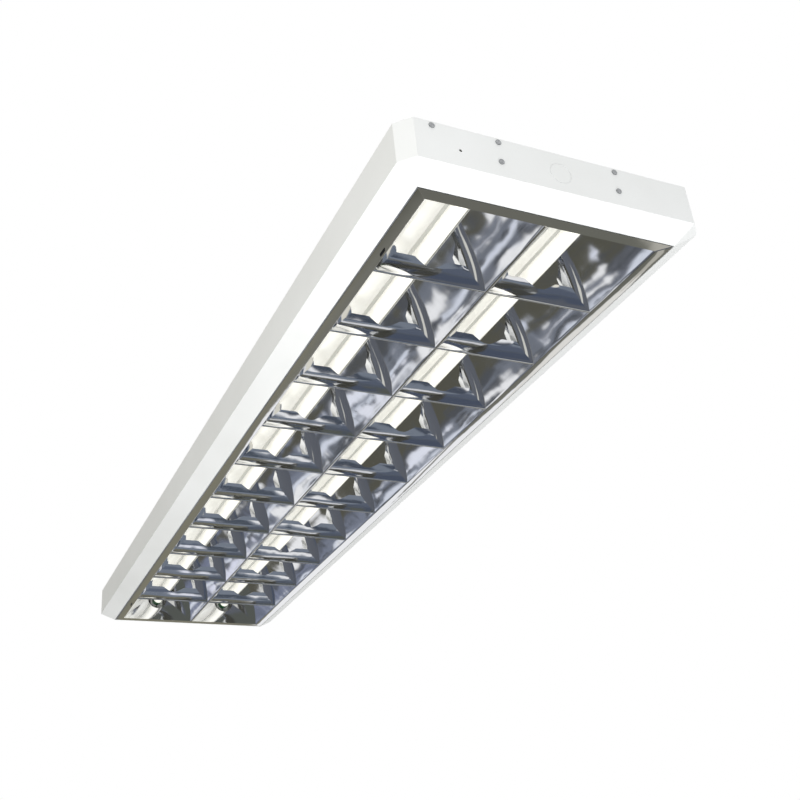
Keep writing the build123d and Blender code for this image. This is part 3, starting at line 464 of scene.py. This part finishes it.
# ---------------------------------------------------------------- floor
# A pale painted floor 2.5 m below the luminaire, wide enough to reach the horizon. The metal
# doesn't mirror it, and it throws no light back up.
floor_mesh = bpy.data.meshes.new("floor")
span = 60.0
floor_z = -2.5
floor_mesh.from_pydata(
    [(-span, -span, floor_z), (span, -span, floor_z), (span, span, floor_z), (-span, span, floor_z)],
    [],
    [(0, 1, 2, 3)],
)
floor = bpy.data.objects.new("floor", floor_mesh)
bpy.context.collection.objects.link(floor)
floor.visible_glossy = False
floor.visible_diffuse = False
pale, tree = new_finish("pale_floor")
place = add(tree, "ShaderNodeTexCoord").outputs["Object"]
dust = add(tree, "ShaderNodeTexNoise", {"Scale": 3.0}, {"Vector": place})
pallor = add(tree, "ShaderNodeValToRGB", links={"Fac": dust.outputs["Fac"]})
pallor.color_ramp.elements[0].color = linear("#F0F0EE")
pallor.color_ramp.elements[1].color = linear("#F5F5F4")
shade = add(tree, "ShaderNodeBsdfPrincipled", {"Roughness": 0.9}, {"Base Color": pallor.outputs["Color"]})
close_finish(tree, shade)
floor_mesh.materials.append(pale)

# ---------------------------------------------------------------- surround
# The camera sees plain white all round, and matt surfaces take a soft light from everywhere.
# Metal mirrors white above the horizon and a made-up dim workshop with bright panels below it.
world = bpy.data.worlds.new("surround")
bpy.context.scene.world = world
world.use_nodes = True
tree = world.node_tree
tree.nodes.clear()


def fade(value, zero, one):
    """A mask that goes evenly from 0 at one value to 1 at another."""
    slope = 1 / (one - zero)
    settings = {"operation": "MULTIPLY_ADD", "use_clamp": True, 1: slope, 2: -zero * slope}
    return add(tree, "ShaderNodeMath", settings, {0: value}).outputs[0]


def band(angle, centre, extent, edge):
    """A mask that is 1 over an extent of an angle and fades over its soft edges, in degrees."""
    turned = add(tree, "ShaderNodeMath", {"operation": "SUBTRACT", 1: math.radians(centre)}, {0: angle})
    away = add(tree, "ShaderNodeMath", {"operation": "ABSOLUTE"}, {0: turned.outputs[0]})
    return fade(away.outputs[0], math.radians(extent / 2 + edge), math.radians(extent / 2))


def overlap(*masks):
    """A mask that is 1 only where all of these are."""
    shared = masks[0]
    for mask in masks[1:]:
        shared = add(tree, "ShaderNodeMath", {"operation": "MULTIPLY"}, {0: shared, 1: mask}).outputs[0]
    return shared


def lay_over(below, mask, colour):
    """The colour below, with another laid over it where the mask is 1."""
    settings = {"data_type": "RGBA", 7: linear(colour)}
    return add(tree, "ShaderNodeMix", settings, {0: mask, 6: below}).outputs[2]


heading = add(tree, "ShaderNodeTexCoord").outputs["Generated"]
axes = add(tree, "ShaderNodeSeparateXYZ", links={"Vector": heading})
along_x, along_y, along_z = axes.outputs
bearing = add(tree, "ShaderNodeMath", {"operation": "ARCTAN2"}, {0: along_x, 1: along_y}).outputs[0]
height = add(tree, "ShaderNodeMath", {"operation": "ARCSINE"}, {0: along_z}).outputs[0]
# the workshop's walls by bearing, from the near end round the left side to the far end and back
walls = add(tree, "ShaderNodeValToRGB", links={"Fac": fade(bearing, -math.pi, math.pi)})
bearings = [
    (-180, "#5F6671"),
    (-150, "#6E7177"),
    (-60, "#7A7E84"),
    (-43, "#71757E"),
    (-27, "#858B96"),
    (-15, "#7D849C"),
    (-7, "#777978"),
    (13, "#858271"),
    (25, "#7B7A71"),
    (43, "#6E6E65"),
    (85, "#A5A293"),
    (130, "#79818C"),
    (165, "#7E8692"),
    (180, "#5F6671"),
]
while len(walls.color_ramp.elements) < len(bearings):
    walls.color_ramp.elements.new(0.5)
# all places first and the colours after, because a stop that moves past another changes its number
for stop, (angle, colour) in zip(walls.color_ramp.elements, bearings):
    stop.position = angle / 360 + 0.5
for stop, (angle, colour) in zip(walls.color_ramp.elements, bearings):
    stop.color = linear(colour)
# clutter between the left side and the far end, in shadow or shining, and bare walls elsewhere
cloudy = {"Scale": 17.0, "Detail": 3.0, "Distortion": 0.8}
speckle = add(tree, "ShaderNodeTexNoise", cloudy, {"Vector": heading}).outputs["Fac"]
cluttered = band(bearing, -30, 69.9, 5.73)
bare = add(tree, "ShaderNodeMath", {"operation": "SUBTRACT", 0: 1.0}, {1: cluttered})
unshaded = fade(speckle, 0.4, 0.54286)
lit = add(tree, "ShaderNodeMath", {"operation": "MAXIMUM"}, {0: unshaded, 1: bare.outputs[0]})
shadows = {"data_type": "RGBA", 6: linear("#55585D")}
room = add(tree, "ShaderNodeMix", shadows, {0: lit.outputs[0], 7: walls.outputs["Color"]}).outputs[2]
room = lay_over(room, overlap(fade(speckle, 0.61818, 0.70909), cluttered), "#F4F6FC")
# the ground towards the far end, from 36 degrees below the horizon down
ahead = fade(along_y, 0.0, 0.125)
room = lay_over(room, overlap(fade(height, -0.625, -0.875), ahead), "#4F4E45")
# a dark beam and two broken strips of light that run along the luminaire: the angle about its
# length and the width in degrees, the clutter's noise value that hides it, and the colour
roll = add(tree, "ShaderNodeMath", {"operation": "ARCTAN2"}, {0: along_z, 1: along_x}).outputs[0]
strip_edge = 1.2
unbroken = 0.45
strips = [
    (-111.5, 32.0, 0.34583, "#5A594F"),
    (-142.5, 0.6, 0.39444, "#EEF0F5"),
    (-137.0, 1.0, 0.41667, "#E4E9F4"),
]
for turn, wide, hidden, colour in strips:
    strip = overlap(band(roll, turn, wide, strip_edge), fade(speckle, hidden, unbroken), ahead)
    room = lay_over(room, strip, colour)
# bearing, height, width and depth in degrees, and the colour of each bright panel
panel_edge = 0.7
panels = [
    (-43, -27, 2, 3, "#FFFFFF"),
    (-36, -25, 2, 3, "#FFFFFF"),
    (-31, -23.5, 1.6, 2, "#F4F6FF"),
    (-33, -29.5, 2, 2, "#FFFFFF"),
    (-27, -27, 2.5, 2.5, "#F2F5FF"),
    (-25, -19, 1.6, 2.4, "#FFFFFF"),
    (-20.5, -16, 1.2, 1.2, "#EEF0FF"),
    (-17, -24, 2, 4, "#FFFFFF"),
    (-37, -37, 1.4, 2, "#FFFFFF"),
    (-34.5, -40.5, 1.2, 1.5, "#E8ECF6"),
    (-39.5, -34.5, 1.5, 1.2, "#FFFFFF"),
    (-31, -36, 1.5, 1.2, "#DDE3F0"),
    (25, -16, 12, 7, "#FFFFFF"),
    (34, -21.5, 7, 9, "#FFFFFF"),
    (42, -26, 9, 9, "#EFEDE6"),
    (24, -23, 9, 9, "#FFFFFF"),
    (50, -32, 10, 7, "#BDBAAF"),
    (-2, -27, 3, 3, "#CFCFC8"),
    (144, -27, 7, 26, "#F4F0E0"),
    (151, -20, 3, 18, "#4A515E"),
    (148.5, -20, 1.0, 14, "#FFFFFF"),
    (157.4, -20, 2.2, 18, "#474E5A"),
    (159.6, -20, 1.0, 14, "#FFFFFF"),
    (163, -18, 2.2, 16, "#4D5560"),
    (165.4, -18, 1.0, 12, "#F4F6FF"),
    (-158, -16, 28, 15, "#666962"),
    (-126, -53, 15, 8, "#F2F0E4"),
    (-168, -29, 18, 10, "#586070"),
    (172, -28, 14, 12, "#636B7A"),
    (-95, -30, 20, 14, "#FFFFFF"),
    (95, -25, 24, 16, "#FFFBEC"),
]
for turn, tilt, wide, deep, colour in panels:
    panel = overlap(band(bearing, turn, wide, panel_edge), band(height, tilt, deep, panel_edge))
    room = lay_over(room, panel, colour)
horizon_edge = math.radians(2.387)
mirrored = lay_over(room, fade(height, -horizon_edge, horizon_edge), "#FFFFFF")
scenery = add(tree, "ShaderNodeBackground", {"Strength": 1.0}, {"Color": mirrored})
# light on matt surfaces: brighter from the near end and the right, warmer and dimmer from the left
brighter_way = (0.55, -0.6, -0.58)
side = add(tree, "ShaderNodeVectorMath", {"operation": "DOT_PRODUCT", 1: brighter_way}, {0: heading})
tints = {"data_type": "RGBA", 6: linear("#8A8774"), 7: linear("#FBFDFF")}
glow = add(tree, "ShaderNodeMix", tints, {0: fade(side.outputs["Value"], -1.0, 1.0)})
ambient = add(tree, "ShaderNodeBackground", {"Strength": 0.82}, {"Color": glow.outputs[2]})
rays = add(tree, "ShaderNodeLightPath")
lighting = add(
    tree,
    "ShaderNodeMixShader",
    links={0: rays.outputs["Is Glossy Ray"], 1: ambient.outputs[0], 2: scenery.outputs[0]},
)
# plain white behind everything, both for the camera and for what it sees through clear pieces
backdrop = add(tree, "ShaderNodeBackground", {"Color": linear("#FFFFFF"), "Strength": 1.0})
seen = add(
    tree,
    "ShaderNodeMath",
    {"operation": "MAXIMUM"},
    {0: rays.outputs["Is Camera Ray"], 1: rays.outputs["Is Transmission Ray"]},
)
surround = add(
    tree, "ShaderNodeMixShader", links={0: seen.outputs[0], 1: lighting.outputs[0], 2: backdrop.outputs[0]}
)
add(tree, "ShaderNodeOutputWorld", links={"Surface": surround.outputs[0]})

# ---------------------------------------------------------------- lights
# Four soft boxes stand lower than the luminaire and round it, and light its walls, rim and
# louvre. The metal doesn't mirror them. A wide overhead light is for the floor and the housing's top.
boxes = [
    ("front_box", (-0.2, -1.1, -1.7), (0.0, -0.3, 0.0), 1.3, 16.0),
    ("corner_box", (-0.8, -1.3, -0.3), (0.0, -0.5, 0.0), 0.5, 2.4),
    ("left_box", (-1.2, -0.9, -0.6), (-0.1, -0.3, 0.0), 0.7, 5.2),
    ("far_box", (0.25, 2.4, -1.25), (0.0, 0.0, -0.02), 0.7, 14.0),
]
for name, place, target, width, power in boxes:
    box = bpy.data.lights.new(name, "AREA")
    box.shape = "SQUARE"
    box.size = width
    box.energy = power
    light = bpy.data.objects.new(name, box)
    bpy.context.collection.objects.link(light)
    light.location = place
    light.rotation_euler = (Vector(target) - Vector(place)).to_track_quat("-Z", "Y").to_euler()
    light.visible_glossy = False
    light.visible_camera = False
overhead = bpy.data.lights.new("overhead", "SUN")
overhead.energy = 1.15
overhead.angle = math.radians(40)
light = bpy.data.objects.new("overhead", overhead)
bpy.context.collection.objects.link(light)
light.location = (0.0, 0.0, 3.0)

# ---------------------------------------------------------------- camera
# Beyond the near end, to its left and below, looking up along the luminaire as in the photo.
# Its place and its turn were fitted to the corners and crossings seen there.
scene = bpy.context.scene
scene.view_settings.view_transform = "Standard"
camera_data = bpy.data.cameras.new("camera")
camera_data.lens = 47.16
camera_data.sensor_width = 36.0
camera_data.shift_x = 0.0339
camera_data.shift_y = 0.0054
camera_data.clip_start = 0.01
camera = bpy.data.objects.new("camera", camera_data)
bpy.context.collection.objects.link(camera)
camera_place = (-0.45795, -1.13782, -0.58742)
camera_turn = Matrix(
    (
        (0.912366, -0.126771, -0.389253),
        (-0.401861, -0.458696, -0.792531),
        (-0.078079, 0.879504, -0.469443),
    )
)
camera.matrix_world = Matrix.Translation(camera_place) @ camera_turn.to_4x4()
scene.camera = camera
